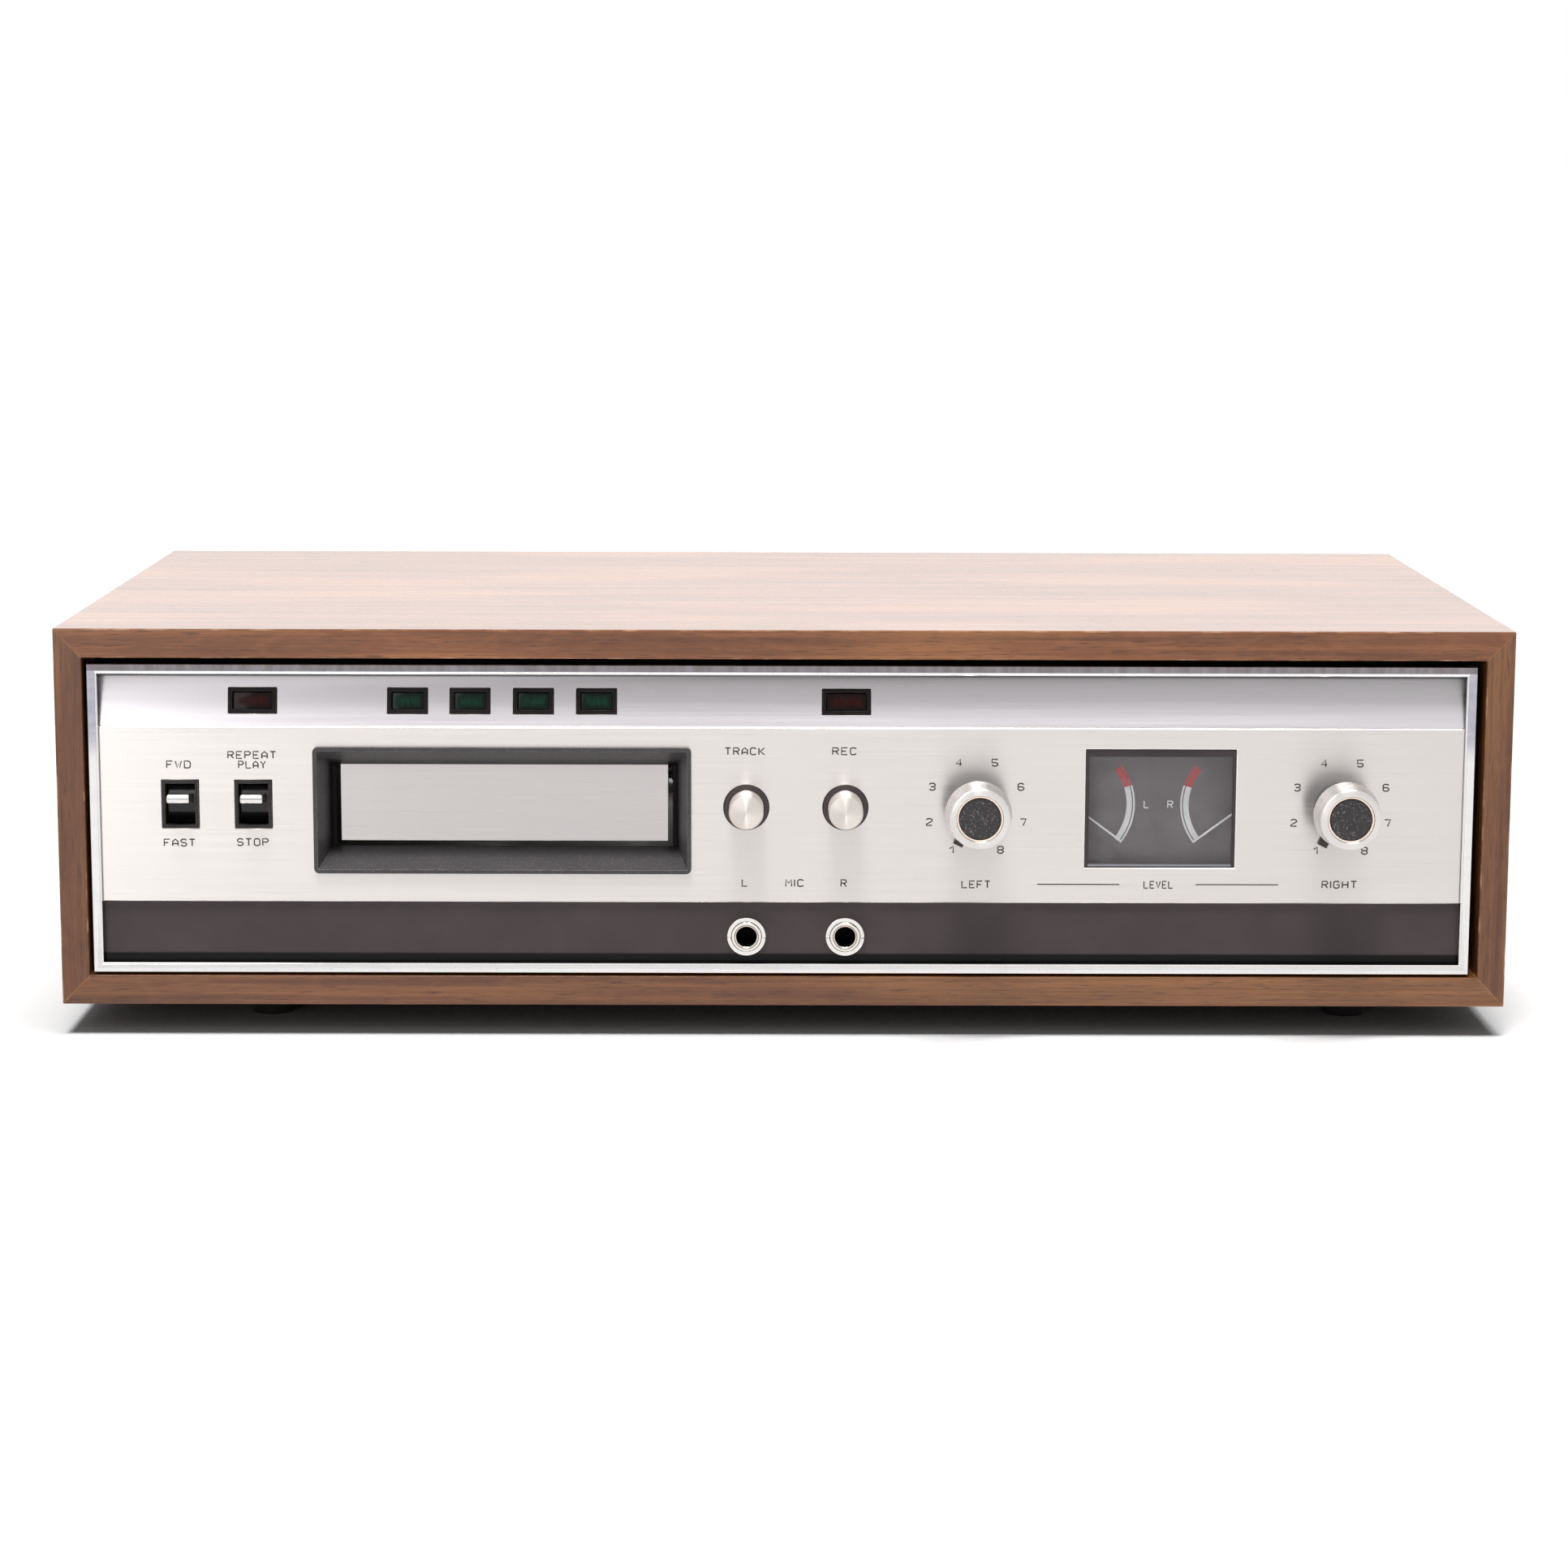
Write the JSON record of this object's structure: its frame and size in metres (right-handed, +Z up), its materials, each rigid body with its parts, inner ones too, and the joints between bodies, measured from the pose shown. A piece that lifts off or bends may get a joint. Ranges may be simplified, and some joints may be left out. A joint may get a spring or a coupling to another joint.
{
  "type": "eight-track cartridge recorder",
  "caption": "Eight-track cartridge recorder in a walnut cabinet, with a front slot, lever switches, push buttons, level knobs, a twin level meter and microphone jacks.",
  "frame": {"origin": "under the middle of the whole object, on the surface it stands on", "axes": "+Z up, +X to the right as seen from the front, the front faces -Y"},
  "size_m": [0.445, 0.2548, 0.1265],
  "materials": {
    "cabinet_top": "satin veneer",
    "cabinet_bottom": "satin veneer",
    "cabinet_sides": "satin veneer",
    "feet": "matte",
    "screws": "zinc plated",
    "chassis": "zinc plated",
    "rear_panel": "matte",
    "rca_jacks": "nickel plated",
    "cord_grommet": "matte",
    "chrome_trim": "bright plated",
    "front_panel": "brushed",
    "lamp_strip": "brushed",
    "lower_band": "matte",
    "sub_panel": "zinc plated",
    "slot_bezel": "fine grain",
    "door_leaf": "brushed",
    "door_carrier": "fine grain",
    "door_pin": "zinc plated",
    "lamp_bezels": "gloss",
    "red_lenses": "tinted",
    "green_lenses": "tinted",
    "lamp_board": "phenolic board",
    "switch_housings": "gloss",
    "forward_lever": "gloss",
    "forward_tip": "bright plated",
    "play_lever": "gloss",
    "play_tip": "bright plated",
    "push_switches": "fine grain",
    "program_button": "turned",
    "record_button": "turned",
    "left_knob": "turned",
    "left_knob_cap": "fine grain",
    "left_pot_shaft": "zinc plated",
    "right_knob": "turned",
    "right_knob_cap": "fine grain",
    "right_pot_shaft": "zinc plated",
    "level_pots": "zinc plated",
    "mic_jacks": "nickel plated",
    "panel_nuts": "nickel plated",
    "meter_housing": "fine grain",
    "meter_dial": "matte",
    "meter_window": "clear",
    "left_needle": "matte",
    "right_needle": "matte",
    "deck_plate": "zinc plated",
    "standoffs": "zinc plated",
    "guide_rails": "zinc plated",
    "motor": "zinc plated",
    "motor_pulley": "machined",
    "drive_belt": "matte",
    "flywheel": "zinc plated",
    "capstan_bearings": "machined",
    "tape_head": "nickel plated",
    "head_carriage": "zinc plated",
    "program_cam": "matte",
    "solenoid": "zinc plated",
    "solenoid_plunger": "zinc plated",
    "lock_arm": "zinc plated",
    "main_board": "phenolic board",
    "transformer": "varnished"
  },
  "bodies": {
    "case": {"cabinet_top": "cabinet_top", "cabinet_bottom": "cabinet_bottom", "cabinet_sides": "cabinet_sides", "feet": "feet", "screws": "screws", "chassis": "chassis", "rear_panel": "rear_panel", "rca_jacks": "rca_jacks", "cord_grommet": "cord_grommet", "chrome_trim": "chrome_trim", "front_panel": "front_panel", "lamp_strip": "lamp_strip", "lower_band": "lower_band", "sub_panel": "sub_panel", "slot_bezel": "slot_bezel", "door_pin": "door_pin", "lamp_bezels": "lamp_bezels", "red_lenses": "red_lenses", "green_lenses": "green_lenses", "lamp_board": "lamp_board", "switch_housings": "switch_housings", "push_switches": "push_switches", "level_pots": "level_pots", "mic_jacks": "mic_jacks", "panel_nuts": "panel_nuts", "meter_housing": "meter_housing", "meter_dial": "meter_dial", "meter_window": "meter_window", "deck_plate": "deck_plate", "standoffs": "standoffs", "guide_rails": "guide_rails", "motor": "motor", "drive_belt": "drive_belt", "capstan_bearings": "capstan_bearings", "solenoid": "solenoid", "main_board": "main_board", "transformer": "transformer"},
    "door": {"door_leaf": "door_leaf", "door_carrier": "door_carrier"},
    "forward_switch": {"forward_lever": "forward_lever", "forward_tip": "forward_tip"},
    "play_switch": {"play_lever": "play_lever", "play_tip": "play_tip"},
    "program_key": {"program_button": "program_button"},
    "record_key": {"record_button": "record_button"},
    "left_level": {"left_knob": "left_knob", "left_knob_cap": "left_knob_cap", "left_pot_shaft": "left_pot_shaft"},
    "right_level": {"right_knob": "right_knob", "right_knob_cap": "right_knob_cap", "right_pot_shaft": "right_pot_shaft"},
    "left_pointer": {"left_needle": "left_needle"},
    "right_pointer": {"right_needle": "right_needle"},
    "capstan": {"flywheel": "flywheel"},
    "rotor": {"motor_pulley": "motor_pulley"},
    "head": {"tape_head": "tape_head", "head_carriage": "head_carriage"},
    "cam": {"program_cam": "program_cam"},
    "plunger": {"solenoid_plunger": "solenoid_plunger"},
    "lock": {"lock_arm": "lock_arm"}
  },
  "joints": [
    {"name": "door_swing", "type": "hinge", "parent": "case", "child": "door", "pos_m": [-0.0865, -0.0932, 0.08575], "axis": [1, 0, 0], "range_deg": [0, 85], "stiffness_Nm_per_rad": 0.01, "springref_deg": -17.19},
    {"name": "forward_lever_tilt", "type": "hinge", "parent": "case", "child": "forward_switch", "pos_m": [-0.1852, -0.0935, 0.0721], "axis": [1, 0, 0], "range_deg": [0, 15]},
    {"name": "play_lever_tilt", "type": "hinge", "parent": "case", "child": "play_switch", "pos_m": [-0.1628, -0.0935, 0.0721], "axis": [1, 0, 0], "range_deg": [0, 15]},
    {"name": "program_press", "type": "slide", "parent": "case", "child": "program_key", "axis": [0, 1, 0], "range_m": [0, 0.004], "stiffness_N_per_m": 300, "springref_m": -0.002},
    {"name": "record_press", "type": "slide", "parent": "case", "child": "record_key", "axis": [0, 1, 0], "range_m": [0, 0.004], "stiffness_N_per_m": 300, "springref_m": -0.002},
    {"name": "left_level_turn", "type": "hinge", "parent": "case", "child": "left_level", "pos_m": [0.0589, -0.1091, 0.0715], "axis": [0, 1, 0], "range_deg": [0, 300]},
    {"name": "right_level_turn", "type": "hinge", "parent": "case", "child": "right_level", "pos_m": [0.1709, -0.1091, 0.0715], "axis": [0, 1, 0], "range_deg": [0, 300]},
    {"name": "left_needle_swing", "type": "hinge", "parent": "case", "child": "left_pointer", "pos_m": [0.0889, -0.0991, 0.0713], "axis": [0, -1, 0], "range_deg": [0, 75], "stiffness_Nm_per_rad": 0.0005, "springref_deg": -11.46},
    {"name": "right_needle_swing", "type": "hinge", "parent": "case", "child": "right_pointer", "pos_m": [0.1419, -0.0991, 0.0713], "axis": [0, 1, 0], "range_deg": [0, 75], "stiffness_Nm_per_rad": 0.0005, "springref_deg": -11.46},
    {"name": "flywheel_spin", "type": "hinge", "parent": "case", "child": "capstan", "pos_m": [-0.1195, -0.0021, 0.042], "axis": [0, 0, 1], "continuous": true},
    {"name": "motor_spin", "type": "hinge", "parent": "case", "child": "rotor", "pos_m": [-0.182, 0.0559, 0.042], "axis": [0, 0, 1], "continuous": true},
    {"name": "cam_turn", "type": "hinge", "parent": "case", "child": "cam", "pos_m": [-0.0625, 0.0189, 0.06], "axis": [0, 0, 1], "range_deg": [0, 270]},
    {"name": "head_lift", "type": "slide", "parent": "case", "child": "head", "axis": [0, 0, 1], "range_m": [0, 0.0024]},
    {"name": "plunger_pull", "type": "slide", "parent": "case", "child": "plunger", "axis": [1, 0, 0], "range_m": [0, 0.004], "stiffness_N_per_m": 200, "springref_m": -0.001},
    {"name": "lock_arm_swing", "type": "hinge", "parent": "case", "child": "lock", "pos_m": [-0.021, -0.0371, 0.065], "axis": [0, 0, -1], "range_deg": [0, 12], "stiffness_Nm_per_rad": 0.05, "springref_deg": -5.73}
  ],
  "couplings": [
    {"joint": "motor_spin", "follows": "flywheel_spin", "ratio": 7.6},
    {"joint": "cam_turn", "follows": "head_lift", "rad_per_m": 1963.5}
  ]
}
